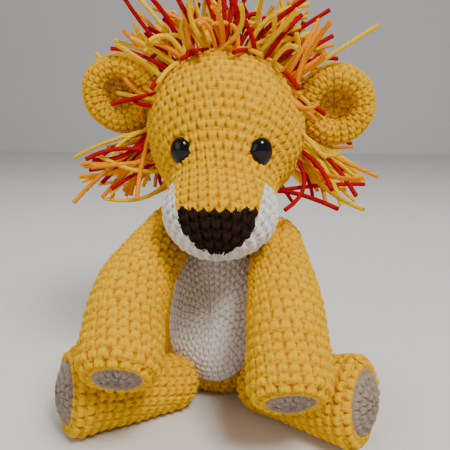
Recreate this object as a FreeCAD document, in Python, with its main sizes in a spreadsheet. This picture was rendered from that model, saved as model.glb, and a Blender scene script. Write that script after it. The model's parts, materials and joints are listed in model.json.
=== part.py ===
"""A crocheted stuffed lion that sits on the floor: hollow crocheted shells, filled with stuffing and sewn
together with yarn, so that the head, ears, arms, legs and tail can be moved.

Frame: millimetres, +Z up, the lion faces -Y, and the origin is the middle of the flat seat."""
import FreeCAD, Part
import math
import os
import Sketcher
from FreeCAD import Matrix, Placement, Rotation, Vector

X, Y, Z = Vector(1, 0, 0), Vector(0, 1, 0), Vector(0, 0, 1)
SIDES = {"left": -1, "right": 1}

SIZES = {
    # torso: a wide ball below, a narrow ball above, and a cone that runs from one to the other
    "seat_ball_radius": 36, "seat_ball_height": 28, "chest_ball_radius": 20.5, "chest_ball_height": 82,
    "cloth": 3.2, "fill_gap": 0.3, "neck_radius": 11,
    "belly_width": 60, "belly_length": 82, "belly_height": 53, "belly_turn": 8, "belly_cloth": 2.4,
    # head
    "head_x": 2, "head_y": -2, "neck_gap": 6, "head_radius": 44.5,
    "snout_forward": 44, "snout_drop": 41, "snout_half_width": 29, "snout_half_depth": 28,
    "snout_half_height": 22.5, "bridge_width": 40, "nose_top": 34, "nose_width": 38, "nose_tip": 57,
    "nose_round": 6, "eye_side": 19.8, "eye_drop": 9, "eye_half_width": 6, "eye_half_height": 7.4,
    "eye_bulge": 4.8, "shank_radius": 2, "washer_radius": 6.5, "washer_thickness": 1.4,
    # ears: a rolled rim round a dish
    "ear_side": 62.5, "ear_back": 8, "ear_rise_left": 20.5, "ear_rise_right": 14, "ear_ring": 16.5,
    "ear_roll": 6.3, "ear_dish": 3.5, "ear_turn": 28, "ear_lean": 12, "ear_clearance": 2.2,
    # mane: tufts of cut yarn that widen from root to tip
    "tuft_root": 2.2, "tuft_tip": 4.2, "tuft_length": 37, "tuft_spacing": 16, "hairline": 82,
    "tuft_row_step": 17, "tuft_half_spread": 142, "tuft_lowest": 24,
    # arms: a dome at the shoulder, a slight bend at the elbow, and a flat pad that ends the paw
    "shoulder_radius": 13.5, "shoulder_forward": 20, "elbow_radius": 18.4, "paw_radius": 19.8,
    "paw_corner": 8.2, "upper_arm": 57, "forearm": 45.5, "limb_gap": 0.7, "pad_thickness": 2.6,
    "shoulder_height_left": 95, "shoulder_height_right": 89.5,
    # legs
    "hip_radius": 14.5, "hip_height": 14.8, "hip_side": 32.5, "foot_radius": 22.5, "foot_corner": 6.4,
    "leg_length": 58, "leg_side": 59.5, "foot_rise": 7.7,
    # yarn seams, tail
    "seam_yarn": 0.9, "shoulder_seam": 7.2, "hip_seam": 9, "seam_clearance": 0.4,
    "knot_radius": 2.4, "seam_room": 5.2,
    "tail_radius": 5.2, "tail_length": 40, "tail_height": 12, "tail_seam": 4.2, "tail_yarn": 0.8,
    "tail_tuft_radius": 8.5, "tail_tuft_length": 27,
}
# the two arms lie a little differently: degrees outward from straight ahead and degrees below level,
# for the upper arm and the forearm
ARM_POSE = {"left": (15.5, 23, -3, 41), "right": (4.5, 24, 4, 45.5)}

doc = FreeCAD.newDocument("stuffed_lion")
sheet = doc.addObject("Spreadsheet::Sheet", "Sizes")
for row, (alias, value) in enumerate(SIZES.items(), 1):
    sheet.set(f"A{row}", alias)
    sheet.set(f"B{row}", str(value))
    sheet.setAlias(f"B{row}", alias)
doc.recompute()
S = {alias: float(sheet.get(alias)) for alias in SIZES}
NODES = []


def cell(formula):
    """Writes every word of a formula that is a size as a cell of the sheet."""
    words = formula.replace("(", " ( ").replace(")", " ) ").split()
    return "".join(f"Sizes.{word}" if word in SIZES else word for word in words)


def bind(thing, **formulas):
    for name, formula in formulas.items():
        thing.setExpression(name.replace("_at_", ".Base."), cell(formula))
    return thing


def node(thing, name):
    thing.Label = name
    NODES.append((name, thing))
    return thing


def solid(kind, name, **formulas):
    """A Part primitive: Placement_at_z and so on place it."""
    return bind(doc.addObject(f"Part::{kind}", name), **formulas)


def ball(name, radius, **places):
    return solid("Sphere", name, Radius=radius, **places)


def joined(name, things):
    fused = doc.addObject("Part::MultiFuse", name)
    fused.Shapes = things
    return fused


def cut(name, base, *tools):
    tool = tools[0] if len(tools) == 1 else joined(f"{name}_tools", list(tools))
    result = doc.addObject("Part::Cut", name)
    result.Base, result.Tool = base, tool
    return result


def common(name, first, second):
    result = doc.addObject("Part::MultiCommon", name)
    result.Shapes = [first, second]
    return result


def number(formula):
    return float(sheet.evalExpression(cell(formula)))


def feature(body, kind, name, frame=Placement(), **formulas):
    """A PartDesign primitive of one body: AdditiveSphere, SubtractiveCone and so on."""
    made = bind(body.newObject(f"PartDesign::{kind}", name), **formulas)
    if kind.endswith("Sphere"):
        made.Angle1, made.Angle2, made.Angle3 = -90, 90, 360
    made.Placement = frame
    return made


def rounded(body, name, base, radius, corner):
    """Fillets the circular edge of the given radius that lies farthest along the body."""
    doc.recompute()
    edges = [(edge.CenterOfMass.Length, i) for i, edge in enumerate(base.Shape.Edges, 1)
             if abs(edge.Length - 2 * math.pi * number(radius)) < 0.01]
    fillet = body.newObject("PartDesign::Fillet", name)
    fillet.Base = (base, [f"Edge{max(edges)[1]}"])
    return bind(fillet, Radius=corner)


def bent(angle):
    """The frame of a forearm in its arm's frame: at the elbow, turned towards +X."""
    return Placement(Vector(0, 0, S["upper_arm"]), Rotation(Y, angle))


def aimed(origin, along, towards):
    """A placement whose +Z is along, with towards in its XZ plane, on the +X side."""
    side = (towards - along * towards.dot(along)).normalize()
    across = along.cross(side)
    turn = Matrix(side.x, across.x, along.x, origin.x, side.y, across.y, along.y, origin.y,
                  side.z, across.z, along.z, origin.z, 0, 0, 0, 1)
    return Placement(turn)


def direction(side, outward, below):
    """A unit vector: degrees outward from straight ahead, and degrees below level."""
    a, b = math.radians(outward), math.radians(below)
    return Vector(side * math.sin(a) * math.cos(b), -math.cos(a) * math.cos(b), -math.sin(b))


# ---------------------------------------------------------------- torso
def torso_solid(name, layer):
    """Two balls and the cone that touches both, cut off flat at the seat; layer is added all round."""
    body = doc.addObject("PartDesign::Body", name)
    torso_features(body, "Additive", name, layer)
    feature(body, "SubtractiveCylinder", f"{name}_seat", Placement(Vector(0, 0, -60), Rotation()),
            Radius="60", Height=f"60 + ( {layer} < 0 ? 0 - ( {layer} ) : 0 )")
    return body


def torso_features(body, kind, name, layer):
    low = f"( seat_ball_radius + {layer} )"
    high = f"( chest_ball_radius + {layer} )"
    span = "( chest_ball_height - seat_ball_height )"
    slope = f"asin( ( seat_ball_radius - chest_ball_radius ) / {span} )"
    ball_low = feature(body, f"{kind}Sphere", f"{name}_low", Radius=low)
    bind(ball_low, Placement_at_z="seat_ball_height")
    cone = feature(body, f"{kind}Cone", f"{name}_cone", Radius1=f"{low} * cos( {slope} )",
                   Radius2=f"{high} * cos( {slope} )",
                   Height=f"{span} + ( {high} - {low} ) * sin( {slope} )")
    bind(cone, Placement_at_z=f"seat_ball_height + {low} * sin( {slope} )")
    ball_high = feature(body, f"{kind}Sphere", f"{name}_high", Radius=high)
    bind(ball_high, Placement_at_z="chest_ball_height")


inside = "( 0 - cloth )"
fill = "( 0 - cloth - fill_gap )"
shell_blank = torso_solid("torso_outside", "0")
hollow = torso_solid("torso_hollow", inside)
neck_hole = solid("Cylinder", "neck_hole", Radius="neck_radius + 0.4", Height="60",
                  Placement_at_z="chest_ball_height")
node(cut("body_shell", shell_blank, hollow, neck_hole), "body_shell")
plug_room = solid("Cylinder", "plug_room", Radius="neck_radius + 0.8", Height="60",
                  Placement_at_z="chest_ball_height - 0.5")
node(cut("body_stuffing", torso_solid("stuffing_blank", fill), plug_room), "body_stuffing")

belly_oval = solid("Ellipse", "belly_oval", MajorRadius="belly_length / 2", MinorRadius="belly_width / 2",
                   Placement_at_z="belly_height")
belly_way = direction(-1, S["belly_turn"], 0)
belly_oval.Placement.Rotation = aimed(Vector(), belly_way, Z).Rotation
belly_prism = doc.addObject("Part::Extrusion", "belly_prism")
belly_prism.Base, belly_prism.DirMode, belly_prism.Dir = belly_oval, "Custom", belly_way
belly_prism.LengthFwd, belly_prism.Solid = 60, True
CHEST, SEAT = Vector(0, 0, S["chest_ball_height"]), Vector(0, 0, S["seat_ball_height"])


def pivot_on(middle, ball_radius, limb_radius, height, angle, side):
    """The middle of a limb's dome that stands just clear of a ball of the torso; angle is measured
    from straight ahead towards the side."""
    reach = ball_radius + limb_radius + S["limb_gap"]
    across = math.sqrt(reach ** 2 - (height - middle.z) ** 2)
    a = math.radians(angle)
    return Vector(side * across * math.sin(a), -across * math.cos(a), height)


def seam_ring(name, middle, ball_radius, pivot, ring, yarn):
    """A ring of yarn half sunk in a ball of the torso, round the place where a limb's dome meets it."""
    outward = (pivot - middle).normalize()
    along = math.sqrt((ball_radius + S[yarn] / 2) ** 2 - S[ring] ** 2)
    ring_solid = solid("Torus", name, Radius1=ring, Radius2=yarn)
    node(ring_solid, name).Placement = aimed(middle + outward * along, outward, Z)


def knot(name, pivot, room=0.0):
    """The knot that ties a limb on, at the middle of its dome."""
    made = ball(name, f"knot_radius + {room}")
    made.Placement.Base = pivot
    return made


shoulders, hips = {}, {}
for side_name, side in SIDES.items():
    shoulders[side_name] = pivot_on(CHEST, S["chest_ball_radius"], S["shoulder_radius"],
                                    S[f"shoulder_height_{side_name}"], 90 - S["shoulder_forward"], side)
    hips[side_name] = pivot_on(SEAT, S["seat_ball_radius"], S["hip_radius"], S["hip_height"],
                               S["hip_side"], side)
limb_rooms = []
for limb_name, spots in (("shoulder", shoulders), ("hip", hips)):
    for side_name, spot in spots.items():
        room = ball(f"{limb_name}_room_{side_name}", f"{limb_name}_radius + seam_room")
        room.Placement.Base = spot
        limb_rooms.append(room)
belly_blank = common("belly_blank", torso_solid("belly_layer", "belly_cloth"), belly_prism)
torso_again = torso_solid("torso_core", "0")
node(cut("belly_patch", belly_blank, torso_again, *limb_rooms), "belly_patch")

# ---------------------------------------------------------------- neck
node(solid("Cylinder", "neck_plug", Radius="neck_radius",
           Height="chest_ball_radius + neck_gap - 3.6",
           Placement_at_z="chest_ball_height + 0.3"), "neck_plug")
node(solid("Torus", "neck_seam", Radius1="neck_radius + seam_yarn + 0.5", Radius2="seam_yarn",
           Placement_at_z="chest_ball_height + sqrt( ( chest_ball_radius + seam_yarn + seam_clearance ) ^ 2"
                          " - ( neck_radius + seam_yarn + 0.5 ) ^ 2 )"), "neck_seam")

# ---------------------------------------------------------------- head: made round its own middle
CHEST_TOP = S["chest_ball_height"] + S["chest_ball_radius"]
HEAD = Vector(S["head_x"], S["head_y"], CHEST_TOP + S["neck_gap"] + S["head_radius"])


def snout(name, layer):
    return bind(doc.addObject("Part::Ellipsoid", name), Radius1=f"snout_half_height + {layer}",
                Radius2=f"snout_half_width + {layer}", Radius3=f"snout_half_depth + {layer}",
                Placement_at_y="0 - snout_forward", Placement_at_z="0 - snout_drop")


def prism(name, corners):
    """A prism along Y through the snout, from the middle of the head forwards; corners is (x, z)."""
    body = doc.addObject("PartDesign::Body", name)
    sketch = body.newObject("Sketcher::SketchObject", f"{name}_outline")
    plane = [o for o in body.Origin.OriginFeatures if o.Role == "XZ_Plane"][0]
    sketch.AttachmentSupport = [(plane, "")]
    sketch.MapMode = "FlatFace"
    spots = [Vector(number(x), number(z), 0) for x, z in corners]
    for i, spot in enumerate(spots):
        sketch.addGeometry(Part.LineSegment(spot, spots[(i + 1) % len(spots)]))
    for i in range(len(spots)):
        sketch.addConstraint(Sketcher.Constraint("Coincident", i, 2, (i + 1) % len(spots), 1))
    for i, (x, z) in enumerate(corners):
        for way, formula in (("DistanceX", x), ("DistanceY", z)):
            index = sketch.addConstraint(Sketcher.Constraint(way, -1, 1, i, 1, number(formula)))
            sketch.setExpression(f"Constraints[{index}]", cell(formula))
    pad = body.newObject("PartDesign::Pad", f"{name}_pad")
    pad.Profile = sketch
    bind(pad, Length="snout_forward + snout_half_depth + 20")
    return body


def eye_parts(name, layer):
    """The shank and washer that hold one eye, thicker by layer for the room round them."""
    shank = solid("Cylinder", f"{name}_shank", Radius=f"shank_radius + {layer}",
                  Height=f"cloth + washer_thickness + 2 + {layer}",
                  Placement_at_z="head_radius - cloth - washer_thickness - 1.5")
    washer = solid("Cylinder", f"{name}_washer", Radius=f"washer_radius + {layer}",
                   Height=f"washer_thickness + {layer}",
                   Placement_at_z=f"head_radius - cloth - 1.2 - washer_thickness - {layer}")
    return shank, washer


head_ball = ball("head_ball", "head_radius")
head_hollow = ball("head_hollow", "head_radius - cloth")
snout_layer = cut("snout_layer", snout("snout_outside", "0"), snout("snout_hollow", inside),
                  ball("head_ball_clear", "head_radius"))
bridge_block = prism("bridge_block", [
    ("0 - bridge_width / 2", "0 - nose_top"), ("bridge_width / 2", "0 - nose_top"),
    ("bridge_width / 2", "0"), ("0 - bridge_width / 2", "0")])
nose_block = prism("nose_block", [
    ("0 - nose_width / 2", "0 - nose_top"), ("0 - nose_width / 2", "0 - nose_top - nose_round"),
    ("0 - 3", "0 - nose_tip"), ("3", "0 - nose_tip"),
    ("nose_width / 2", "0 - nose_top - nose_round"), ("nose_width / 2", "0 - nose_top")])
bind(nose_block, Placement_at_y="0 - snout_forward")
node(common("snout_bridge", snout_layer, bridge_block), "snout_bridge")
head_wall = cut("head_wall", head_ball, head_hollow)
eye_frames = {}
shanks, washers, rooms = {}, {}, []
for side_name, side in SIDES.items():
    depth = math.sqrt(S["head_radius"] ** 2 - S["eye_side"] ** 2 - S["eye_drop"] ** 2)
    outward = Vector(side * S["eye_side"], -depth, -S["eye_drop"]).normalize()
    eye_frames[side_name] = aimed(Vector(), outward, Z)
    shank, washer = eye_parts(f"eye_{side_name}", "0")
    shanks[side_name], washers[side_name] = shank, washer
    room = joined(f"eye_room_{side_name}", list(eye_parts(f"eye_{side_name}_room", "0.15")))
    hole = solid("Cylinder", f"eye_hole_{side_name}", Radius="shank_radius + 0.1", Height="20")
    room.Placement = eye_frames[side_name]
    hole.Placement = eye_frames[side_name] * Placement(Z * (S["head_radius"] - 15), Rotation())
    rooms.append((room, hole))
node(cut("head_shell", head_wall, *[hole for _, hole in rooms]), "head_shell")
node(cut("head_stuffing", ball("head_fill", "head_radius - cloth - fill_gap"),
         *[room for room, _ in rooms]), "head_stuffing")
node(cut("muzzle", snout_layer, bridge_block, nose_block), "muzzle")
node(common("nose", snout_layer, nose_block), "nose")
node(cut("snout_stuffing", snout("snout_fill", fill), ball("head_ball_room", "head_radius + fill_gap")),
     "snout_stuffing")
for side_name in SIDES:
    bead = bind(doc.addObject("Part::Ellipsoid", f"bead_{side_name}"), Radius1="eye_bulge",
                Radius2="eye_half_height", Radius3="eye_half_width", Placement_at_z="head_radius - 0.4")
    socket = ball(f"socket_{side_name}", "head_radius")
    button = cut(f"button_{side_name}", bead, socket)
    node(joined(f"eye_{side_name}", [button, shanks[side_name]]), f"eye_{side_name}")
    bore = solid("Cylinder", f"washer_bore_{side_name}", Radius="shank_radius", Height="20",
                 Placement_at_z="head_radius - 15")
    node(cut(f"eye_washer_{side_name}", washers[side_name], bore), f"eye_washer_{side_name}")
HEAD_NODES = ["head_shell", "snout_bridge", "head_stuffing", "muzzle", "nose", "snout_stuffing"]
for name, thing in NODES:
    if name in HEAD_NODES:
        thing.Placement.Base = HEAD
    for side_name in SIDES:
        if name in (f"eye_{side_name}", f"eye_washer_{side_name}"):
            thing.Placement = Placement(HEAD, Rotation()) * eye_frames[side_name]

# ---------------------------------------------------------------- ears
ear_spots = {}
for side_name, side in SIDES.items():
    spot = Vector(side * S["ear_side"], S["ear_back"], S[f"ear_rise_{side_name}"])
    ear_spots[side_name] = spot
    opening = Rotation(Z, side * S["ear_turn"]) * Rotation(X, S["ear_lean"]) * (-Y)
    frame = aimed(spot, opening, Z)
    rim = solid("Torus", f"ear_rim_{side_name}", Radius1="ear_ring", Radius2="ear_roll")
    dish = solid("Cylinder", f"ear_dish_{side_name}", Radius="ear_ring", Height="ear_dish",
                 Placement_at_z="0 - ear_roll + 0.8")
    bowl = joined(f"ear_bowl_{side_name}", [rim, dish])
    bowl.Placement = frame
    room = ball(f"ear_room_{side_name}", "head_radius + ear_clearance")
    node(cut(f"ear_{side_name}", bowl, room), f"ear_{side_name}").Placement.Base = HEAD

# ---------------------------------------------------------------- mane
COLOURS = ("yellow", "orange", "red")
tufts = {colour: [] for colour in COLOURS}
count = 0
for row_index in range(6):
    polar = math.radians(S["hairline"] + row_index * S["tuft_row_step"])
    around = 2 * math.pi * S["head_radius"] * math.sin(polar)
    total = max(1, int(around / S["tuft_spacing"]))
    for k in range(total):
        turn = 360 * (k + 0.5 * (row_index % 2)) / total - 180
        if abs(turn) > S["tuft_half_spread"]:
            continue
        a = math.radians(turn)
        outward = Vector(math.sin(polar) * math.sin(a), -math.cos(polar), math.sin(polar) * math.cos(a))
        root, tip = outward * (S["head_radius"] + 0.05), outward * (S["head_radius"] + S["tuft_length"])
        reach = S["ear_ring"] + S["ear_roll"] + S["tuft_tip"] + 1.5
        flat = [min((root + (tip - root) * f / 8 - spot).Length for f in range(9))
                for spot in ear_spots.values()]
        if min(flat) < reach or tip.z < -S["tuft_lowest"]:
            continue
        colour = COLOURS[(count + row_index) % 3]
        count += 1
        cone = solid("Cone", f"tuft_{count}", Radius1="tuft_root", Radius2="tuft_tip",
                     Height="tuft_length")
        cone.Placement = aimed(root, outward, Vector(0.3, 0.5, 0.8))
        tufts[colour].append(cone)
for colour in COLOURS:
    bundle = doc.addObject("Part::Compound", f"mane_tufts_{colour}")
    bundle.Links = tufts[colour]
    node(bundle, f"mane_tufts_{colour}").Placement.Base = HEAD

# ---------------------------------------------------------------- arms
# Each limb is made in its own frame, with its joint at the origin and its length along +Z.


def arm_features(body, kind, name, layer, bend, end):
    """Dome, upper arm, elbow and forearm; end is where the forearm stops."""
    feature(body, f"{kind}Sphere", f"{name}_dome", Radius=f"shoulder_radius + {layer}")
    feature(body, f"{kind}Cone", f"{name}_upper", Radius1=f"shoulder_radius + {layer}",
            Radius2=f"elbow_radius + {layer}", Height="upper_arm")
    feature(body, f"{kind}Sphere", f"{name}_elbow", bent(bend), Radius=f"elbow_radius + {layer} + 0.08")
    return feature(body, f"{kind}Cone", f"{name}_forearm", bent(bend), Radius1=f"elbow_radius + {layer}",
                   Radius2=f"paw_radius + {layer}", Height=end)


def leg_features(body, kind, name, layer, end):
    feature(body, f"{kind}Sphere", f"{name}_dome", Radius=f"hip_radius + {layer}")
    return feature(body, f"{kind}Cone", f"{name}_flank", Radius1=f"hip_radius + {layer}",
                   Radius2=f"foot_radius + {layer}", Height=end)


def flat_pad(name, radius, length, frame):
    """The room for a pad: a disc whose outer face is the limb's end."""
    disc = solid("Cylinder", name, Radius=radius, Height="pad_thickness")
    disc.Placement = frame * Placement(Z * (number(length) - S["pad_thickness"]), Rotation())
    return disc


def limb(names, make, last_radius, corner, length, end_frame, place):
    """Makes a limb's shell, stuffing and pad from make(body, kind, name, layer, end)."""
    shell_name, fill_name, pad_name = names
    body = doc.addObject("PartDesign::Body", f"{shell_name}_wall")
    end = make(body, "Additive", f"{shell_name}_out", "0", length)
    rounded(body, f"{shell_name}_corner", end, last_radius, corner)
    make(body, "Subtractive", f"{shell_name}_in", inside, f"{length} - pad_thickness")
    pad_size = f"{last_radius} - {corner} - 0.2"
    shell = cut(shell_name, body, flat_pad(f"{shell_name}_mouth", pad_size, length, end_frame))
    stuffed = doc.addObject("PartDesign::Body", fill_name)
    make(stuffed, "Additive", f"{fill_name}_out", fill, f"{length} - pad_thickness - fill_gap")
    feature(stuffed, "SubtractiveSphere", f"{fill_name}_knot_room", Radius="knot_radius + fill_gap")
    pad = flat_pad(pad_name, pad_size, length, end_frame)
    for name, thing in zip(names, (shell, stuffed, pad)):
        node(thing, name).Placement = place * thing.Placement


JOINTS = {}
for side_name, side in SIDES.items():
    out_upper, drop_upper, out_fore, drop_fore = ARM_POSE[side_name]
    pivot = shoulders[side_name]
    upper, fore = direction(side, out_upper, drop_upper), direction(side, out_fore, drop_fore)
    bend = math.degrees(upper.getAngle(fore))
    place = aimed(pivot, upper, fore)
    limb((f"arm_shell_{side_name}", f"arm_stuffing_{side_name}", f"paw_pad_{side_name}"),
         lambda body, kind, name, layer, end: arm_features(body, kind, name, layer, bend, end),
         "paw_radius", "paw_corner", "forearm", bent(bend), place)
    node(knot(f"shoulder_knot_{side_name}", pivot), f"shoulder_knot_{side_name}")
    seam_ring(f"shoulder_seam_{side_name}", CHEST, S["chest_ball_radius"], pivot, "shoulder_seam",
              "seam_yarn")
    JOINTS[f"shoulder_{side_name}"] = pivot

# ---------------------------------------------------------------- legs
for side_name, side in SIDES.items():
    pivot = hips[side_name]
    rise = S["foot_rise"] / S["leg_length"]
    along = direction(side, S["leg_side"], -math.degrees(math.asin(rise)))
    place = aimed(pivot, along, Z)
    limb((f"leg_shell_{side_name}", f"leg_stuffing_{side_name}", f"foot_pad_{side_name}"), leg_features,
         "foot_radius", "foot_corner", "leg_length", Placement(), place)
    node(knot(f"hip_knot_{side_name}", pivot), f"hip_knot_{side_name}")
    seam_ring(f"hip_seam_{side_name}", SEAT, S["seat_ball_radius"], pivot, "hip_seam", "seam_yarn")
    JOINTS[f"hip_{side_name}"] = pivot

# ---------------------------------------------------------------- tail
root = -pivot_on(SEAT, S["seat_ball_radius"], S["tail_radius"], S["tail_height"], 0, 1)
root.z = S["tail_height"]
tail_frame = aimed(root, Y, Z)
tail_tube = joined("tail_tube", [ball("tail_dome", "tail_radius"),
                                 solid("Cylinder", "tail_rod", Radius="tail_radius", Height="tail_length")])
node(cut("tail_cord", tail_tube, knot("tail_knot_room", Vector(), "fill_gap")),
     "tail_cord").Placement = tail_frame
node(knot("tail_knot", root), "tail_knot")
seam_ring("tail_seam", SEAT, S["seat_ball_radius"], root, "tail_seam", "tail_yarn")
tuft = bind(doc.addObject("Part::Cone", "tail_tuft"), Radius1="tail_radius - 1",
            Radius2="tail_tuft_radius", Height="tail_tuft_length")
node(tuft, "tail_tuft").Placement = tail_frame * Placement(Z * (S["tail_length"] + 0.2), Rotation())
JOINTS["tail"] = root
JOINTS["neck"] = Vector(0, 0, CHEST_TOP + S["neck_gap"] / 2)

# ---------------------------------------------------------------- check and write
doc.recompute()
for thing in doc.Objects:
    if "Invalid" in thing.State or "Error" in thing.State:
        raise SystemExit(f"{thing.Name} failed: {thing.State}")
for name, thing in NODES:
    if thing.Shape.isNull() or not thing.Shape.isValid() or not thing.Shape.Solids:
        raise SystemExit(f"{name} has no valid shape")
os.makedirs("parts", exist_ok=True)
for name, thing in NODES:
    thing.Shape.exportStep(f"parts/{name}.step")
    print(name, round(thing.Shape.Volume), len(thing.Shape.Solids))
for name, spot in JOINTS.items():
    print("joint", name, [round(v, 2) for v in spot])
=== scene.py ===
# %% [markdown]
# # A crocheted stuffed lion
# Every skin is a grid laid over a simple form and pushed out into single-crochet stitches: two slanting
# legs of yarn for each stitch, with a small pit where they meet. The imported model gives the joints.

# %%
import json
import math

import bmesh
import bpy
import numpy as np
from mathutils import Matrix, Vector


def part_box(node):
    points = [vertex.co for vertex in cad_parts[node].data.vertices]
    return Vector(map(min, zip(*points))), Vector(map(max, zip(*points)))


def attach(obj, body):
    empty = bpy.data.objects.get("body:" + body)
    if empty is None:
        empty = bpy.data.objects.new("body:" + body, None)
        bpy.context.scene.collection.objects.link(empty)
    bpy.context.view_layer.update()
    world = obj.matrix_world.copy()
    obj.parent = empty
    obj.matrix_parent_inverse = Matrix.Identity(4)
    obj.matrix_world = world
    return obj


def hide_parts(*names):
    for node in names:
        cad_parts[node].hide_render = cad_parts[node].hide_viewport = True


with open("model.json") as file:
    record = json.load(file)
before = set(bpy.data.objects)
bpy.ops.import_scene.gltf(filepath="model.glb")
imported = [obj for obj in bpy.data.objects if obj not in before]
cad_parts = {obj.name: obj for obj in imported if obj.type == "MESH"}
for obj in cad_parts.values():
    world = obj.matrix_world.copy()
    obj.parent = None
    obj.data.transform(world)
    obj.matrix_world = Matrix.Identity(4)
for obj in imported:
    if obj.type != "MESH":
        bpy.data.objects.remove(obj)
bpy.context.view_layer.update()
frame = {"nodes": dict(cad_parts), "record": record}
rng = np.random.default_rng(7)
MM = 0.001
SIDES = {"left": -1, "right": 1}

# %% [markdown]
# ## Gauge and sizes
# A worsted yarn gives stitches about 5.3 mm wide and 5 mm tall; the belly is worked finer. Most sizes of
# the forms repeat those of the solid model.

# %%
STITCH, ROUND = 5.3 * MM, 5.0 * MM
FINE_STITCH, FINE_ROUND = 4.1 * MM, 3.7 * MM
RELIEF, SUNK, HEM = 1.9 * MM, 0.25, 2.2 * MM
SAMPLES = 8
SLANT = 0.13

SEAT_BALL, CHEST_BALL = (36 * MM, 28 * MM), (20.5 * MM, 82 * MM)
HEAD = np.array([2, -2, 153]) * MM
HEAD_RADIUS = 44.5 * MM
SNOUT = np.array([0, -44, -41]) * MM
SNOUT_HALF = np.array([29, 28, 22.5]) * MM
NOSE_TOP, NOSE_TIP, NOSE_HALF, BRIDGE_HALF = -34 * MM, -57 * MM, 19 * MM, 20 * MM
EYE = np.array([19.8, 0, -9]) * MM
EAR = {"left": np.array([-62.5, 8, 20.5]) * MM, "right": np.array([62.5, 8, 14]) * MM}
SHOULDER, ELBOW, PAW, PAW_CORNER = 13.5 * MM, 18.4 * MM, 19.8 * MM, 8.2 * MM
UPPER_ARM, FOREARM = 57 * MM, 45.5 * MM
HIP, FOOT, FOOT_CORNER, LEG = 14.5 * MM, 22.5 * MM, 6.4 * MM, 58 * MM
PIVOT = {j["name"]: np.array(j["pos_m"]) for j in frame["record"]["behaviour"]["joints"]}


# %% [markdown]
# ## Materials
# One node group carries what all yarn shares: the fine twist of the plies along each leg of a stitch, a
# soft mottling and painted shade in the hollows, where the colour darkens towards a shaded colour as the
# stitch gets lower. Each colour of yarn is then one material.

# %%
def new_group(name, inputs, outputs):
    group = bpy.data.node_groups.new(name, "ShaderNodeTree")
    for label, kind in inputs:
        group.interface.new_socket(label, in_out="INPUT", socket_type=kind)
    for label, kind in outputs:
        group.interface.new_socket(label, in_out="OUTPUT", socket_type=kind)
    return group, group.nodes.new("NodeGroupInput"), group.nodes.new("NodeGroupOutput")


def maths(tree, operation, first, second=None):
    node = tree.nodes.new("ShaderNodeMath")
    node.operation = operation
    for socket, value in zip(node.inputs, (first, second)):
        if isinstance(value, (int, float)):
            socket.default_value = value
        elif value is not None:
            tree.links.new(value, socket)
    return node.outputs[0]


def yarn_group():
    tree, given, result = new_group(
        "Yarn", [("Color", "NodeSocketColor"), ("Painted shade", "NodeSocketColor"), ("Twist", "NodeSocketFloat")],
        [("Color", "NodeSocketColor"), ("Height", "NodeSocketFloat")])
    uv = tree.nodes.new("ShaderNodeUVMap")
    uv.uv_map = "stitches"
    split = tree.nodes.new("ShaderNodeSeparateXYZ")
    tree.links.new(uv.outputs[0], split.inputs[0])
    fold = maths(tree, "ABSOLUTE", maths(tree, "SUBTRACT", maths(tree, "FRACT", split.outputs[0]), 0.5))
    upward = maths(tree, "MULTIPLY", split.outputs[1], 3.0)
    lines = maths(tree, "ADD", maths(tree, "MULTIPLY", fold, 5.0), upward)
    turns = maths(tree, "MULTIPLY", lines, given.outputs["Twist"])
    wave = maths(tree, "SINE", maths(tree, "MULTIPLY", turns, 2 * math.pi))
    place = tree.nodes.new("ShaderNodeTexCoord")
    noises = []
    for scale in (1100, 160):
        noise = tree.nodes.new("ShaderNodeTexNoise")
        noise.inputs["Scale"].default_value = scale
        noise.inputs["Detail"].default_value = 3
        tree.links.new(place.outputs["Object"], noise.inputs["Vector"])
        noises.append(maths(tree, "SUBTRACT", noise.outputs["Fac"], 0.5))
    fibre, mottle = noises
    height = maths(tree, "ADD", maths(tree, "MULTIPLY", wave, 0.35), maths(tree, "MULTIPLY", fibre, 1.6))
    tree.links.new(height, result.inputs["Height"])
    # Painted shade: the stitch height stored on the mesh mixes the colour towards the shaded colour in the
    # pits between stitches.
    shade_by_height = tree.nodes.new("ShaderNodeAttribute")
    shade_by_height.attribute_name = "shade_by_height"
    level = maths(tree, "MULTIPLY", shade_by_height.outputs["Fac"], 1.45)
    for part, share in ((fibre, 1.5), (mottle, 0.7), (wave, 0.10)):
        level = maths(tree, "ADD", level, maths(tree, "MULTIPLY", part, share))
    mix = tree.nodes.new("ShaderNodeMix")
    mix.data_type = "RGBA"
    factor, shade_colour, top = mix.inputs[0], mix.inputs[6], mix.inputs[7]
    tree.links.new(level, factor)
    tree.links.new(given.outputs["Painted shade"], shade_colour)
    tree.links.new(given.outputs["Color"], top)
    tree.links.new(mix.outputs[2], result.inputs["Color"])
    return tree


YARN = yarn_group()


def yarn(name, colour, shade_colour, twist=1.0):
    material = bpy.data.materials.new(name)
    material.use_nodes = True
    tree = material.node_tree
    skin = tree.nodes["Principled BSDF"]
    group = tree.nodes.new("ShaderNodeGroup")
    group.node_tree = YARN
    group.inputs["Color"].default_value = (*colour, 1)
    group.inputs["Painted shade"].default_value = (*shade_colour, 1)
    group.inputs["Twist"].default_value = twist
    bump = tree.nodes.new("ShaderNodeBump")
    bump.inputs["Distance"].default_value = 0.0005
    bump.inputs["Strength"].default_value = 0.8
    tree.links.new(group.outputs["Height"], bump.inputs["Height"])
    tree.links.new(bump.outputs["Normal"], skin.inputs["Normal"])
    tree.links.new(group.outputs["Color"], skin.inputs["Base Color"])
    skin.inputs["Roughness"].default_value = 0.8
    skin.inputs["Sheen Weight"].default_value = 0.06
    skin.inputs["Sheen Roughness"].default_value = 0.5
    skin.inputs["Sheen Tint"].default_value = (*colour, 1)
    skin.inputs["Specular IOR Level"].default_value = 0.06
    return material


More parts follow.
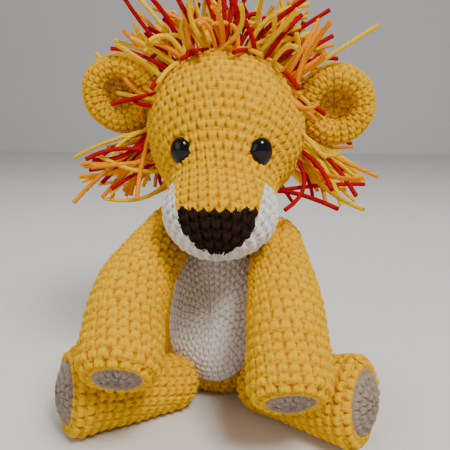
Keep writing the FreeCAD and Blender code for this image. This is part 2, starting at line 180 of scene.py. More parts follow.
def plain(name, colour, roughness, coat=0.0):
    material = bpy.data.materials.new(name)
    material.use_nodes = True
    skin = material.node_tree.nodes["Principled BSDF"]
    skin.inputs["Base Color"].default_value = (*colour, 1)
    skin.inputs["Roughness"].default_value = roughness
    skin.inputs["Coat Weight"].default_value = coat
    return material


# The second colour of each yarn is its painted shade: the colour shown in the pits between stitches.
YELLOW = yarn("yellow yarn", (0.93, 0.53, 0.0), (0.58, 0.20, 0.0))
WHITE = yarn("white yarn", (0.92, 0.89, 0.85), (0.54, 0.49, 0.45))
BROWN = yarn("brown yarn", (0.026, 0.012, 0.007), (0.008, 0.004, 0.003))
TAUPE = yarn("taupe yarn", (0.40, 0.32, 0.25), (0.19, 0.14, 0.11))
ORANGE = yarn("orange yarn", (0.93, 0.32, 0.0), (0.62, 0.14, 0.0), twist=2.0)
RED = yarn("red yarn", (0.42, 0.004, 0.008), (0.16, 0.0, 0.003), twist=2.0)
STRAND_YELLOW = yarn("yellow strands", (0.93, 0.57, 0.0), (0.62, 0.26, 0.0), twist=2.0)
THREAD = plain("yellow sewing yarn", (0.85, 0.42, 0.0), 0.9)
STUFFING = plain("polyester stuffing", (0.85, 0.85, 0.84), 0.95)
BEAD = plain("black glossy plastic", (0.003, 0.003, 0.003), 0.10, 0.15)
BEAD.node_tree.nodes["Principled BSDF"].inputs["Specular IOR Level"].default_value = 0.25
WASHER = plain("washer plastic", (0.7, 0.7, 0.68), 0.5)

# %% [markdown]
# ## Crocheted skins
# A skin is a flat grid whose two directions, u and v, run round and along a form. A form is a function
# from u and v, each 0 to 1, to points. The stitches are worked in one spiral, as in a real toy.

# %%
def unit(vectors):
    return vectors / np.maximum(np.linalg.norm(vectors, axis=-1, keepdims=True), 1e-12)


def hashed(first, second):
    """A steady pseudo-random number from -1 to 1 for each stitch."""
    value = np.sin(first * 127.1 + second * 311.7) * 43758.5453
    return (value - np.floor(value)) * 2 - 1


def leg_height(x, y, foot, head, radius):
    """Height of a round strand that lies from foot to head, at the places x, y; all in stitches."""
    foot, head = np.array(foot), np.array(head)
    along = head - foot
    t = np.clip(((x - foot[0]) * along[0] + (y - foot[1]) * along[1]) / (along @ along), 0, 1)
    gap = np.hypot(x - foot[0] - t * along[0], y - foot[1] - t * along[1])
    rise = np.sqrt(np.clip(1 - (gap / radius) ** 2, 0, 1))
    return rise * (1 - 0.55 * np.abs(2 * t - 1) ** 3)


def stitch_height(across, along):
    """0 in the pits to 1 on top of the yarn, for places counted in stitches and rounds."""
    row = np.floor(along)
    across = across + SLANT * row
    column = np.floor(across)
    x = across - column - 0.5 + 0.07 * hashed(row, column)
    y = along - row + 0.06 * hashed(column, row)
    height = np.zeros_like(x)
    for side in (-1, 1):
        height = np.maximum(height, leg_height(x, y, (side * 0.07, 0.10), (side * 0.28, 0.74), 0.27))
        height = np.maximum(height, 0.66 * leg_height(x, y, (side * 0.62, 0.99), (side * 0.10, 0.96), 0.15))
    return height * (1 + 0.14 * hashed(row + 9, column + 4))


def lumps(points):
    """Slow unevenness of a skin that was worked and stuffed by hand, in metres."""
    x, y, z = points.T / (8.5 * MM)
    return 0.22 * MM * (np.sin(x + 1.7 * np.sin(0.8 * y)) + np.sin(1.1 * y + 1.3 * np.sin(z))
                        + np.sin(0.9 * z + 1.1 * np.sin(1.2 * x)))


def counts_along(form, rounds, stitch):
    """How many stitches each round of a form takes."""
    u = np.linspace(0, 1, 97)
    numbers = []
    for row in range(rounds + 2):
        ring = form(u, np.full_like(u, min((row + 0.5) / rounds, 1 - 0.3 / rounds)))
        length = np.linalg.norm(np.diff(ring, axis=0), axis=1).sum()
        numbers.append(max(6, int(round(length / stitch))))
    return np.array(numbers)


def length_of(form):
    v = np.linspace(0, 1, 200)
    return np.mean([np.linalg.norm(np.diff(form(np.full_like(v, u), v), axis=0), axis=1).sum()
                    for u in (0, 0.25, 0.5, 0.75)])


def crochet(name, form, material, stitch=STITCH, round_height=ROUND, relief=RELIEF, keep=None):
    """Lays a grid over a form and pushes it out into stitches. keep says which faces are used, from
    the middle of each and how far round it is, in stitches. Returns the object."""
    rounds = max(2, int(round(length_of(form) / round_height)))
    counts = counts_along(form, rounds, stitch)
    bm = bmesh.new()
    bm.loops.layers.uv.new("stitches")
    bmesh.ops.create_grid(bm, x_segments=int(counts.max() * SAMPLES), y_segments=rounds * SAMPLES,
                          size=0.5, calc_uvs=True)
    mesh = bpy.data.meshes.new(name)
    bm.to_mesh(mesh)
    bm.free()
    flat = np.empty(len(mesh.vertices) * 3)
    mesh.vertices.foreach_get("co", flat)
    u, v = (flat.reshape(-1, 3)[:, :2] + 0.5).T
    step = 1e-3
    base = form(u, v)
    round_u, round_v = np.clip(u, step, 1 - step), np.clip(v, step, 1 - step)
    du = form(round_u + step, round_v) - form(round_u - step, round_v)
    dv = form(round_u, round_v + step) - form(round_u, round_v - step)
    normal = unit(np.cross(du, dv))
    row = np.clip(np.floor(v * rounds + u), 0, rounds + 1).astype(int)
    height = stitch_height(u * counts[row], v * rounds + u)
    calm = np.clip(np.minimum(v, 1 - v) * rounds / 0.5, 0, 1)
    place = base + normal * ((height * calm - SUNK) * relief + lumps(base) * calm)[:, None]
    place[:, 2] = np.maximum(place[:, 2], 0)
    mesh.vertices.foreach_set("co", place.ravel())
    # The stitch height is kept for the painted shade: the lower the yarn, the darker its colour.
    height = height * calm + 0.7 * (1 - calm)
    shade_by_height = mesh.attributes.new("shade_by_height", "FLOAT", "POINT")
    shade_by_height.data.foreach_set("value", height.astype(np.float32))
    bm = bmesh.new()
    bm.from_mesh(mesh)
    uv_layer = bm.loops.layers.uv.active
    if keep is not None:
        faces = list(bm.faces)
        corners = np.array([[loop[uv_layer].uv[:] for loop in face.loops] for face in faces]).mean(axis=1)
        fu, fv = corners.T
        frow = np.clip(np.floor(fv * rounds + fu), 0, rounds + 1).astype(int)
        wanted = keep(form(fu, fv), fv, fu * counts[frow] + SLANT * frow)
        bmesh.ops.delete(bm, geom=[f for f, want in zip(faces, wanted) if not want], context="FACES")
    bmesh.ops.remove_doubles(bm, verts=bm.verts, dist=1e-6)
    bmesh.ops.dissolve_degenerate(bm, dist=1e-7, edges=bm.edges)
    rim = [edge for edge in bm.edges if edge.is_boundary]
    if rim and keep is not None:
        made = bmesh.ops.extrude_edge_only(bm, edges=rim)["geom"]
        for vert in (g for g in made if isinstance(g, bmesh.types.BMVert)):
            vert.co -= inwards(vert) * HEM
    for face in bm.faces:
        face.smooth = True
    bm.to_mesh(mesh)
    bm.free()
    grid_to_stitches(mesh, rounds, counts)
    mesh.materials.append(material)
    thing = bpy.data.objects.new(name, mesh)
    bpy.context.scene.collection.objects.link(thing)
    return thing


def inwards(vert):
    """The direction into the form at a boundary corner, from the faces it was grown from."""
    total = Vector()
    for edge in vert.link_edges:
        for end in edge.verts:
            if end is not vert:
                for face in end.link_faces:
                    if face.normal.length > 0:
                        total += face.normal
    return total.normalized() if total.length > 0 else total


def grid_to_stitches(mesh, rounds, counts):
    """Turns the grid's own coordinates into stitches and rounds, face by face."""
    loops = len(mesh.loops)
    uv = np.empty(loops * 2)
    mesh.uv_layers.active.data.foreach_get("uv", uv)
    uv = uv.reshape(-1, 2)
    starts = np.empty(len(mesh.polygons), dtype=int)
    totals = np.empty(len(mesh.polygons), dtype=int)
    mesh.polygons.foreach_get("loop_start", starts)
    mesh.polygons.foreach_get("loop_total", totals)
    owner = np.repeat(np.arange(len(starts)), totals)
    middle = np.zeros((len(starts), 2))
    np.add.at(middle, owner, uv)
    middle /= totals[:, None]
    row = np.clip(np.floor(middle[:, 1] * rounds + middle[:, 0]), 0, rounds + 1).astype(int)
    count = counts[row][owner]
    out = np.column_stack([uv[:, 0] * count + SLANT * row[owner], uv[:, 1] * rounds + uv[:, 0]])
    mesh.uv_layers.active.data.foreach_set("uv", out.ravel())
    mesh.update()

# %% [markdown]
# ## Torso
# A profile of two balls and a cone, turned round the upright axis; the lower ball is flat where it sits.

# %%
def along_profile(corners, v):
    """Points at even distances along a profile of (radius, height) corners."""
    corners = np.array(corners)
    lengths = np.concatenate([[0], np.cumsum(np.linalg.norm(np.diff(corners, axis=0), axis=1))])
    at = v * lengths[-1]
    return np.interp(at, lengths, corners[:, 0]), np.interp(at, lengths, corners[:, 1])


def arc(centre, radius, start, end, count=24):
    """Corners along an arc in (radius, height); angles in degrees from the level direction."""
    angles = np.radians(np.linspace(start, end, count))
    return [(centre[0] + radius * math.cos(a), centre[1] + radius * math.sin(a)) for a in angles]


def turned(profile):
    def form(u, v):
        radius, height = along_profile(profile, v)
        angle = np.pi / 2 + 2 * np.pi * u
        return np.column_stack([radius * np.cos(angle), radius * np.sin(angle), height])
    return form


def torso_profile(extra):
    low, high = SEAT_BALL[0] + extra, CHEST_BALL[0] + extra
    slope = math.degrees(math.asin((low - high) / (CHEST_BALL[1] - SEAT_BALL[1])))
    seat = -math.degrees(math.asin(SEAT_BALL[1] / low))
    return ([(0, 0), (low * math.cos(math.radians(seat)), 0)]
            + arc((0, SEAT_BALL[1]), low, seat, slope)[1:] + arc((0, CHEST_BALL[1]), high, slope, 89.5))


TORSO = torso_profile(0.8 * MM)
body = crochet("crocheted_torso", turned(TORSO), YELLOW)
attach(body, "torso")
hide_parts("body_shell")


# %% [markdown]
# The belly is an oval of finer white crochet. Its rounds grow from the middle and stretch upright, and
# the whole oval is wrapped onto the torso.

# %%
BELLY_MIDDLE, BELLY_HALF_WIDTH, BELLY_HALF_LENGTH, BELLY_CLOTH = 52 * MM, 30 * MM, 40 * MM, 2.2 * MM
BELLY_TURN = math.radians(8)
HEIGHTS = np.array([p[1] for p in TORSO[1:]])
RADII = np.array([p[0] for p in TORSO[1:]])


def on_torso(across, height, out):
    radius = np.interp(height, HEIGHTS, RADII)
    angle = across / np.maximum(radius, 8 * MM) - BELLY_TURN
    return np.column_stack([(radius + out) * np.sin(angle), -(radius + out) * np.cos(angle), height])


def belly_form(u, v):
    core = BELLY_HALF_LENGTH - BELLY_HALF_WIDTH
    across, up = np.sin(2 * np.pi * u), np.cos(2 * np.pi * u)
    spread = v * BELLY_HALF_WIDTH
    x = spread * across
    z = BELLY_MIDDLE + spread * up + core * up * np.sqrt(np.clip(v, 0, 1))
    out = BELLY_CLOTH * (1 - np.clip((v - 0.93) / 0.07, 0, 1) ** 2 * 1.2) + 1.8 * MM * (1 - v ** 2)
    return on_torso(x, z, out)


belly = crochet("crocheted_belly", belly_form, WHITE, FINE_STITCH, FINE_ROUND, relief=1.0 * MM)
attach(belly, "torso")
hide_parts("belly_patch")


# %% [markdown]
# ## Head
# The rounds start at the tip of the snout and widen over the cheeks to the back of the head. The form
# is a ball and an egg that flow into each other, found by stepping out from a line through both.

# %%
AXIS = unit(-SNOUT)
DOWN = unit(np.array([0, 0, -1.0]) - AXIS * -AXIS[2])
ACROSS = np.cross(AXIS, DOWN)


def head_distance(points):
    """Below zero inside the head; the ball and the egg are joined with a soft crease."""
    ball = np.linalg.norm(points, axis=-1) - HEAD_RADIUS
    p = points - SNOUT
    near, slope = np.linalg.norm(p / SNOUT_HALF, axis=-1), np.linalg.norm(p / SNOUT_HALF ** 2, axis=-1)
    egg = near * (near - 1) / np.maximum(slope, 1e-9)
    soft = 24 * MM
    mix = np.clip(0.5 + 0.5 * (egg - ball) / soft, 0, 1)
    return egg * (1 - mix) + ball * mix - soft * mix * (1 - mix)


def head_ray(u, w):
    """Where a line from inside the head meets its surface; w runs from the snout to the nape."""
    part_one, part_two = 0.22, 0.42
    tilt = np.where(w < part_one, w / part_one * 90, np.where(w < part_two, 90,
                    90 + (w - part_two) / (1 - part_two) * 90))
    slide = np.clip((w - part_one) / (part_two - part_one), 0, 1)
    start = SNOUT * (1 - slide)[:, None]
    round_it = 2 * np.pi * u
    side = DOWN * np.cos(round_it)[:, None] + ACROSS * np.sin(round_it)[:, None]
    tilt = np.radians(tilt)[:, None]
    ray = -AXIS * np.cos(tilt) + side * np.sin(tilt)
    near, far = np.zeros(len(u)), np.full(len(u), 90 * MM)
    for _ in range(22):
        middle = (near + far) / 2
        inside = head_distance(start + ray * middle[:, None]) < 0
        near, far = np.where(inside, middle, near), np.where(inside, far, middle)
    return start + ray * far[:, None]


HEAD_STEPS = np.linspace(0, 1, 160)
HEAD_LENGTHS = np.mean([np.concatenate([[0], np.cumsum(np.linalg.norm(np.diff(
    head_ray(np.full_like(HEAD_STEPS, u), HEAD_STEPS), axis=0), axis=1))]) for u in np.arange(8) / 8], axis=0)


def head_form(u, v):
    w = np.interp(np.clip(v, 0, 1) * HEAD_LENGTHS[-1], HEAD_LENGTHS, HEAD_STEPS)
    return head_ray(u, w) + HEAD


def nose_here(place, v, across):
    """A brown wedge with a level top, over whose edge the yellow stitches reach like teeth."""
    x, _, z = (place - HEAD).T
    tooth = 1.1 * MM * (1 - 4 * np.abs(across - np.floor(across) - 0.5))
    level = (NOSE_TOP + tooth - z) / (NOSE_TOP - NOSE_TIP)
    half = NOSE_HALF * (1 - np.clip(level, 0, 1) ** 2.5) ** 0.8
    return (level > 0) & (level < 1) & (np.abs(x) < half) & (v * HEAD_LENGTHS[-1] < 40 * MM)


def muzzle_here(place, v, across):
    """White cheeks and chin; each cheek narrows to a point beside the bridge of the snout."""
    x, _, z = (place - HEAD).T
    bridge = (np.abs(x) < BRIDGE_HALF + np.clip(z - NOSE_TOP, 0, None) * 0.24) & (z > NOSE_TOP - 2 * MM)
    return (v * HEAD_LENGTHS[-1] < 50 * MM) & ~bridge & ~nose_here(place, v, across)


def rest_of_head(place, v, across):
    return ~nose_here(place, v, across) & ~muzzle_here(place, v, across)


for label, where, material, node, slot in (
        ("crocheted_head", rest_of_head, YELLOW, "head_shell", "yarn_yellow"),
        ("crocheted_muzzle", muzzle_here, WHITE, "muzzle", "yarn_white"),
        ("crocheted_nose", nose_here, BROWN, "nose", "yarn_brown")):
    skin = crochet(label, head_form, material, keep=where)
    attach(skin, "head")
    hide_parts(node)


# %% [markdown]
# ## Limbs
# A limb's profile is turned round a line that may bend. The flat end of each is a pad in another yarn.

# %%
def heading(side, outward, below):
    a, b = math.radians(outward), math.radians(below)
    return np.array([side * math.sin(a) * math.cos(b), -math.cos(a) * math.cos(b), -math.sin(b)])


class Line:
    """A limb's middle line: straight, a soft bend, then straight again."""

    soft = 16 * MM

    def __init__(self, start, first, second, bend_at):
        self.start, self.first, self.second, self.bend_at = start, first, second, bend_at
        normal = np.cross(first, second)
        self.normal = unit(normal) if np.linalg.norm(normal) > 1e-6 else unit(np.cross(first, [0, 0, 1]))

    def at(self, s):
        t = np.clip((s - self.bend_at + self.soft) / (2 * self.soft), 0, 1)[:, None]
        elbow = self.start + self.first * self.bend_at
        before, after = elbow - self.first * self.soft, elbow + self.second * self.soft
        bent = before * (1 - t) ** 2 + elbow * 2 * t * (1 - t) + after * t ** 2
        early = np.minimum(s - self.bend_at + self.soft, 0)[:, None] * self.first
        late = np.maximum(s - self.bend_at - self.soft, 0)[:, None] * self.second
        along = unit(self.first * (1 - t) + self.second * t)
        return bent + early + late, along


def tube(line, profile):
    """A profile of (radius, distance along) turned round a line."""
    def form(u, v):
        radius, s = along_profile(profile, v)
        centre, along = line.at(s)
        side = np.cross(line.normal, along)
        angle = (2 * np.pi * u)[:, None]
        return centre + radius[:, None] * (side * np.cos(angle) + line.normal * np.sin(angle))
    return form


def disc(centre, along, radius, crown):
    """A slightly crowned disc that faces along."""
    side = unit(np.cross(along, [0, 0, 1]))
    up = np.cross(side, along)

    def form(u, v):
        angle = 2 * np.pi * u[:, None]
        flat = radius * v[:, None] * (side * np.cos(angle) + up * np.sin(angle))
        return centre + flat + along * (crown * (1 - np.clip(v, 0, 1) ** 2))[:, None]
    return form


ARM_POSE = {"left": (15.5, 23, -3, 41), "right": (4.5, 24, 4, 45.5)}
LEG_SIDE, LEG_RISE = 59.5, math.degrees(math.asin(7.7 / 58))


def finish_limb(side, kind, line, profile, end, radius, bulge):
    skin = crochet(f"crocheted_{kind}_{side}", tube(line, profile), YELLOW)
    centre, along = line.at(np.array([end]))
    pad_name = {"arm": "paw_pad", "leg": "foot_pad"}[kind]
    pad_form = disc(centre[0] - along[0] * 0.5 * MM, along[0], radius + 0.8 * MM, bulge)
    pad = crochet(f"crocheted_{pad_name}_{side}", pad_form, TAUPE, STITCH * 0.8, ROUND * 0.8, relief=1.2 * MM)
    for piece, node, slot in ((skin, f"{kind}_shell_{side}", "yarn_yellow"),
                              (pad, f"{pad_name}_{side}", "yarn_taupe")):
        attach(piece, f"{kind}_{side}")
        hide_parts(node)


for side_name, side in SIDES.items():
    out_upper, drop_upper, out_fore, drop_fore = ARM_POSE[side_name]
    line = Line(PIVOT[f"arm_lift_{side_name}"], heading(side, out_upper, drop_upper),
                heading(side, out_fore, drop_fore), UPPER_ARM)
    end = UPPER_ARM + FOREARM
    arm = (arc((0, 0), SHOULDER, -89.5, 0) + [(ELBOW, UPPER_ARM), (PAW, end - PAW_CORNER)]
           + arc((PAW - PAW_CORNER, end - PAW_CORNER), PAW_CORNER, 0, 90, 8))
    finish_limb(side_name, "arm", line, arm, end, PAW - PAW_CORNER, 2.4 * MM)
    along = heading(side, LEG_SIDE, -LEG_RISE)
    line = Line(PIVOT[f"leg_spread_{side_name}"], along, along, LEG / 2)
    leg = (arc((0, 0), HIP, -89.5, 0) + [(FOOT, LEG - FOOT_CORNER)]
           + arc((FOOT - FOOT_CORNER, LEG - FOOT_CORNER), FOOT_CORNER, 0, 90, 8))
    finish_limb(side_name, "leg", line, leg, LEG, FOOT - FOOT_CORNER, 5 * MM)


# %% [markdown]
# ## Ears
# Each ear is a round bowl with a thick rolled rim, pressed flat where it is sewn to the head.

# %%
EAR_RING, EAR_ROLL, EAR_TURN, EAR_LEAN = 16.5 * MM, 6.3 * MM, 2, 10
ear_profile = ([(0, -8.5 * MM), (9 * MM, -8 * MM)] + arc((EAR_RING, 0), EAR_ROLL, -75, 185, 24)
               + [(9 * MM, -4.5 * MM), (0, -5.5 * MM)])


def ear_form(side, centre):
    turn, lean = math.radians(side * EAR_TURN), math.radians(EAR_LEAN)
    opening = np.array([math.sin(turn) * math.cos(lean), -math.cos(turn) * math.cos(lean), -math.sin(lean)])
    level = unit(np.cross(opening, [0, 0, 1]))
    up = np.cross(level, opening)

    def form(u, v):
        radius, height = along_profile(ear_profile, v)
        angle = 2 * np.pi * u
        flat = up * (radius * np.cos(angle))[:, None] + level * (radius * np.sin(angle))[:, None]
        place = centre + flat + opening * height[:, None]
        out = np.linalg.norm(place, axis=1, keepdims=True)
        return place * np.maximum(1, (HEAD_RADIUS + 0.3 * MM) / out) + HEAD
    return form


for side_name, side in SIDES.items():
    ear = crochet(f"crocheted_ear_{side_name}", ear_form(side, EAR[side_name]), YELLOW, STITCH * 0.72,
                  ROUND * 0.75, relief=1.3 * MM)
    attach(ear, f"ear_{side_name}")
    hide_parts(f"ear_{side_name}")


# %% [markdown]
# ## Mane
# Cut strands are knotted into the back of the head in rows. Each strand is a curve with a round bevel:
# it leaves the head along its own heading and droops a little.

# %%
STRAND, STRAND_LENGTH, KNOT_DEPTH, KNOT_SPACING = 1.3 * MM, 39 * MM, 1 * MM, 5.6 * MM
BARE_FROM = 166  # degrees round from the top; the underside has no strands
LOWEST_BEHIND, LOWEST, WIDEST = 98 * MM, 112 * MM, 94 * MM


def strands(name, material, paths):
    curve = bpy.data.curves.new(name, "CURVE")
    curve.dimensions = "3D"
    curve.bevel_depth = STRAND
    curve.bevel_resolution = 1
    curve.use_fill_caps = True
    curve.resolution_u = 1
    for path in paths:
        spline = curve.splines.new("POLY")
        spline.points.add(len(path) - 1)
        spline.points.foreach_set("co", np.column_stack([path, np.ones(len(path))]).ravel())
    source = bpy.data.objects.new(name + "_curve", curve)
    bpy.context.scene.collection.objects.link(source)
    bpy.context.view_layer.update()
    mesh = bpy.data.meshes.new_from_object(source.evaluated_get(bpy.context.evaluated_depsgraph_get()))
    bpy.data.objects.remove(source)
    mesh.name = name
    if not mesh.uv_layers:
        mesh.uv_layers.new(name="stitches")
    mesh.uv_layers[0].name = "stitches"
    # Strands get one fixed value of the painted-shade height, near the top, so they are only slightly shaded.
    shade_by_height = mesh.attributes.new("shade_by_height", "FLOAT", "POINT")
    shade_by_height.data.foreach_set("value", np.full(len(mesh.vertices), 0.85, dtype=np.float32))
    mesh.materials.clear()
    mesh.materials.append(material)
    for face in mesh.polygons:
        face.use_smooth = True
    thing = bpy.data.objects.new(name, mesh)
    bpy.context.scene.collection.objects.link(thing)
    return thing


def strand_path(root, heading_out, length, droop):
    """A cut strand that bends its own way as it leaves its root."""
    t = np.linspace(0, 1, 10)[:, None]
    bend, twist = rng.normal(0, 0.20, 3), rng.normal(0, 0.16, 3)
    path = root + length * (heading_out * t + bend * t ** 2 + twist * t ** 3)
    path = path - np.array([0, 0, droop]) * t ** 2
    path[:, 2] = np.maximum(path[:, 2], 1.2 * STRAND)
    return path


def mane_roots():
    """Directions from the middle of the head, row by row, from the hairline to the nape."""
    for row, polar_degrees in enumerate(np.arange(76, 158, 8.0)):
        polar = math.radians(polar_degrees)
        total = int(2 * math.pi * HEAD_RADIUS * math.sin(polar) / KNOT_SPACING)
        for k in range(total):
            turn = 360 * (k + 0.5 * (row % 2)) / total - 180 + rng.uniform(-2.5, 2.5)
            if abs(turn) > BARE_FROM:
                continue
            a, p = math.radians(turn), polar + rng.uniform(-0.04, 0.04)
            yield row, np.array([math.sin(p) * math.sin(a), -math.cos(p), math.sin(p) * math.cos(a)])


def before_an_ear(path):
    """Whether a strand would hang in front of an ear or run through it."""
    local = path - HEAD
    ahead = local[:, 1] < 16 * MM
    return any((ahead & (np.hypot(local[:, 0] - ear[0], local[:, 2] - ear[2]) < 24 * MM)).any()
               for ear in EAR.values())


paths = {"yellow": [], "orange": [], "red": []}


def add_strand(path):
    paths[rng.choice(["yellow", "orange", "red"], p=[0.35, 0.34, 0.31])].append(path)


for row, out in mane_roots():
    on_cheek = abs(out[0]) > 0.6 and out[2] < 0.25
    for _ in range(3 if on_cheek else 2):
        lean = out + rng.normal(0, 0.24, 3) + np.array([0, -0.10 if row < 2 else 0.06, 0])
        if row == 0 and rng.random() < 0.35:
            lean = 0.5 * out + np.cross(out, [0, 1, 0]) * rng.choice([-1, 1]) + np.array([0, -0.3, 0])
        if on_cheek:
            lean += np.array([0, 0, -0.65])
        path = strand_path(HEAD + out * (HEAD_RADIUS - KNOT_DEPTH), unit(lean),
                           STRAND_LENGTH * rng.uniform(0.78, 1.12), rng.uniform(2, 12) * MM)
        lowest = LOWEST_BEHIND if out[1] > 0.75 else LOWEST
        if path[:, 2].min() > lowest and np.abs(path[:, 0]).max() < WIDEST and not before_an_ear(path):
            add_strand(path)

# %% [markdown]
# A few strands lie forward on the forehead, each at its own turn and slant, and a bunch lies in each ear.

# %%
FRINGE = ((-40, -1.2), (-33, -0.6), (-22, 0.4), (-12, -0.8), (-3, 0.6), (9, 1.0), (18, -0.5), (30, 0.9),
          (41, 1.2))
for turn, sideways in FRINGE:
    a, p = math.radians(turn), math.radians(77)
    out = np.array([math.sin(p) * math.sin(a), -math.cos(p), math.sin(p) * math.cos(a)])
    ahead = unit(np.cross(np.cross(out, [sideways, -0.8, -0.4]), out))
    turned_by = np.linspace(0, rng.uniform(0.26, 0.48), 10)[:, None]
    lift = HEAD_RADIUS + 1.4 * MM + 9 * MM * turned_by
    add_strand(HEAD + (out * np.cos(turned_by) + ahead * np.sin(turned_by)) * lift)
for side_name, side in SIDES.items():
    for _ in range(9):
        out = unit(np.array([side * 0.80, -0.36, 0.46]) + rng.normal(0, 0.09, 3))
        root = HEAD + out * (HEAD_RADIUS - KNOT_DEPTH)
        target = HEAD + EAR[side_name] + np.array([-5 * side, -5, -7]) * MM + rng.normal(0, 4 * MM, 3)
        length, droop = 25 * MM * rng.uniform(0.8, 1.15), rng.uniform(1, 5) * MM
        add_strand(strand_path(root, unit(target - root), length, droop))
for colour, material in (("yellow", STRAND_YELLOW), ("orange", ORANGE), ("red", RED)):
    mane = strands(f"mane_{colour}", material, paths[colour])
    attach(mane, "head")
    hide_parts(f"mane_tufts_{colour}")


# %% [markdown]
# ## Eyes
# A safety eye is a glossy oval dome that sits close on the yarn.

# %%
for side_name, side in SIDES.items():
    place = EYE * np.array([side, 1, 1])
    place[1] = -math.sqrt(HEAD_RADIUS ** 2 - place[0] ** 2 - place[2] ** 2)
    out = Vector(place).normalized()
    while head_distance(place) < -0.3 * MM:
        place = place + np.array(out) * 0.2 * MM
    bm = bmesh.new()
    bmesh.ops.create_uvsphere(bm, u_segments=40, v_segments=20, radius=1)
    bmesh.ops.scale(bm, vec=(6.2 * MM, 7.6 * MM, 4.8 * MM), verts=bm.verts)
    turn = out.to_track_quat("Z", "Y").to_matrix().to_4x4()
    bmesh.ops.transform(bm, matrix=turn, verts=bm.verts)
    bmesh.ops.translate(bm, vec=Vector(place + HEAD), verts=bm.verts)
    for face in bm.faces:
        face.smooth = True
    mesh = bpy.data.meshes.new(f"glossy_eye_{side_name}")
    bm.to_mesh(mesh)
    bm.free()
    mesh.materials.append(BEAD)
    eye = bpy.data.objects.new(f"glossy_eye_{side_name}", mesh)
    bpy.context.scene.collection.objects.link(eye)
    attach(eye, "head")
    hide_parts(f"eye_{side_name}")


# %% [markdown]
# ## Tail
# A narrow crocheted tube that lies behind, with a tuft of strands.

# %%
TAIL_RADIUS, TAIL_LENGTH = 5.2 * MM, 40 * MM
tail_line = Line(PIVOT["tail_swing"], np.array([0, 1.0, 0]), np.array([0, 1.0, 0]), TAIL_LENGTH / 2)
tail_profile = (arc((0, 0), TAIL_RADIUS, -89.5, 0, 8) + [(TAIL_RADIUS, TAIL_LENGTH - TAIL_RADIUS)]
                + arc((0, TAIL_LENGTH - TAIL_RADIUS), TAIL_RADIUS, 0, 89.5, 8))
tail = crochet("crocheted_tail", tube(tail_line, tail_profile), YELLOW, relief=1.1 * MM)
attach(tail, "tail")
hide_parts("tail_cord")
tuft_paths = []
for _ in range(34):
    lean = unit(np.array([rng.normal(0, 0.28), 1, rng.normal(0, 0.22)]))
    aside, upward = rng.normal(0, 1.2) * MM, rng.normal(0, 1.2) * MM
    root = PIVOT["tail_swing"] + np.array([aside, TAIL_LENGTH - 3 * MM, upward])
    tuft_paths.append(strand_path(root, lean, rng.uniform(20, 27) * MM, rng.uniform(0, 2) * MM))
tuft = strands("tail_strands", RED, tuft_paths)
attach(tuft, "tail")
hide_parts("tail_tuft")


# %% [markdown]
# ## Neck
# A short crocheted tube that joins the torso to the head.

# %%
neck_low, neck_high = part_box("neck_plug")
neck_radius = (neck_high[0] - neck_low[0]) / 2
neck_ends = [(neck_radius, 96 * MM), (neck_radius, neck_high[2] + 4 * MM)]
neck = crochet("crocheted_neck", turned(neck_ends), YELLOW)
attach(neck, "neck")
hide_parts("neck_plug")


# %% [markdown]
# ## The rest of the model
# The bridge of the snout is part of the head's skin. Stuffing, washers and knots stay as modelled.

# %%
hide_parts("snout_bridge")
for node_name, thing in frame["nodes"].items():
    slot_name = next(s["material_slot"] for s in frame["record"]["subparts"] if s["node"] == node_name)
    thing.data.materials.clear()
    thing.data.materials.append({"stuffing": STUFFING, "washer_plastic": WASHER, "eye_plastic": BEAD,
                                 "yarn_white": WHITE, "yarn_brown": BROWN, "yarn_taupe": TAUPE,
                                 "yarn_orange": ORANGE, "yarn_red": RED}.get(slot_name, THREAD))


# %% [markdown]
# ## Stage and camera
# A pale floor with a wall behind it, soft light from above, and a camera a little above the lion.

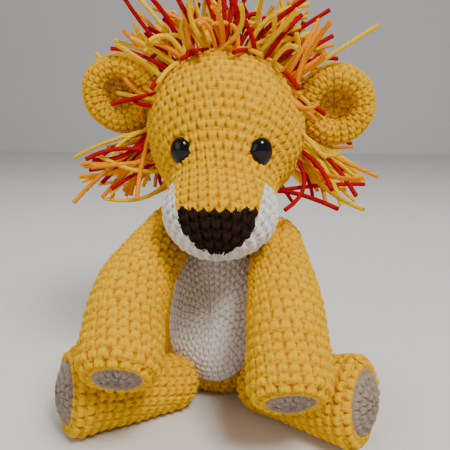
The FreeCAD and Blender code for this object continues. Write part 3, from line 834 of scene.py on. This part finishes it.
# %%
VIEW_TURN, VIEW_DOWN, VIEW_DISTANCE = math.radians(4), math.radians(12.1), 345 * MM
LOOK_AT = Vector((1.1 * MM, 0, 96.5 * MM))
HALF_IN_VIEW = 135 * MM
FIELD = 2 * math.atan(HALF_IN_VIEW / VIEW_DISTANCE)

bm = bmesh.new()
bmesh.ops.create_grid(bm, x_segments=1, y_segments=1, size=1.6)
back = [e for e in bm.edges if all(v.co.y > 1.5 for v in e.verts)]
grown = bmesh.ops.extrude_edge_only(bm, edges=back)["geom"]
for vert in (g for g in grown if isinstance(g, bmesh.types.BMVert)):
    vert.co.z += 1.8
mesh = bpy.data.meshes.new("floor")
bm.to_mesh(mesh)
bm.free()
mesh.materials.append(plain("pale paper", (0.72, 0.72, 0.73), 0.9))
floor = bpy.data.objects.new("floor", mesh)
bpy.context.scene.collection.objects.link(floor)


LAMP_COLOUR = (1, 0.96, 0.90)


def lamp(name, place, size, power):
    light = bpy.data.lights.new(name, "AREA")
    light.size, light.energy, light.color = size, power, LAMP_COLOUR
    thing = bpy.data.objects.new(name, light)
    thing.location = place
    thing.rotation_euler = (Vector((0, 0, 0.1)) - Vector(place)).to_track_quat("-Z", "Y").to_euler()
    bpy.context.scene.collection.objects.link(thing)


lamp("key", (0.40, -0.60, 1.0), 0.35, 13.5)
lamp("fill", (-0.8, -0.7, 0.5), 0.8, 3)
lamp("top", (-0.1, 0.5, 1.0), 0.7, 5)
world = bpy.data.worlds.new("room")
world.use_nodes = True
world.node_tree.nodes["Background"].inputs["Color"].default_value = (0.82, 0.79, 0.75, 1)
world.node_tree.nodes["Background"].inputs["Strength"].default_value = 0.36
bpy.context.scene.world = world

camera_data = bpy.data.cameras.new("camera")
camera_data.sensor_fit = "HORIZONTAL"
camera_data.angle = FIELD
camera_data.clip_start, camera_data.clip_end = 0.01, 20
camera = bpy.data.objects.new("camera", camera_data)
offset = Vector((math.sin(VIEW_TURN) * math.cos(VIEW_DOWN), -math.cos(VIEW_TURN) * math.cos(VIEW_DOWN),
                 math.sin(VIEW_DOWN))) * VIEW_DISTANCE
camera.location = LOOK_AT + offset
camera.rotation_euler = (-offset).to_track_quat("-Z", "Y").to_euler()
bpy.context.scene.collection.objects.link(camera)
bpy.context.scene.camera = camera
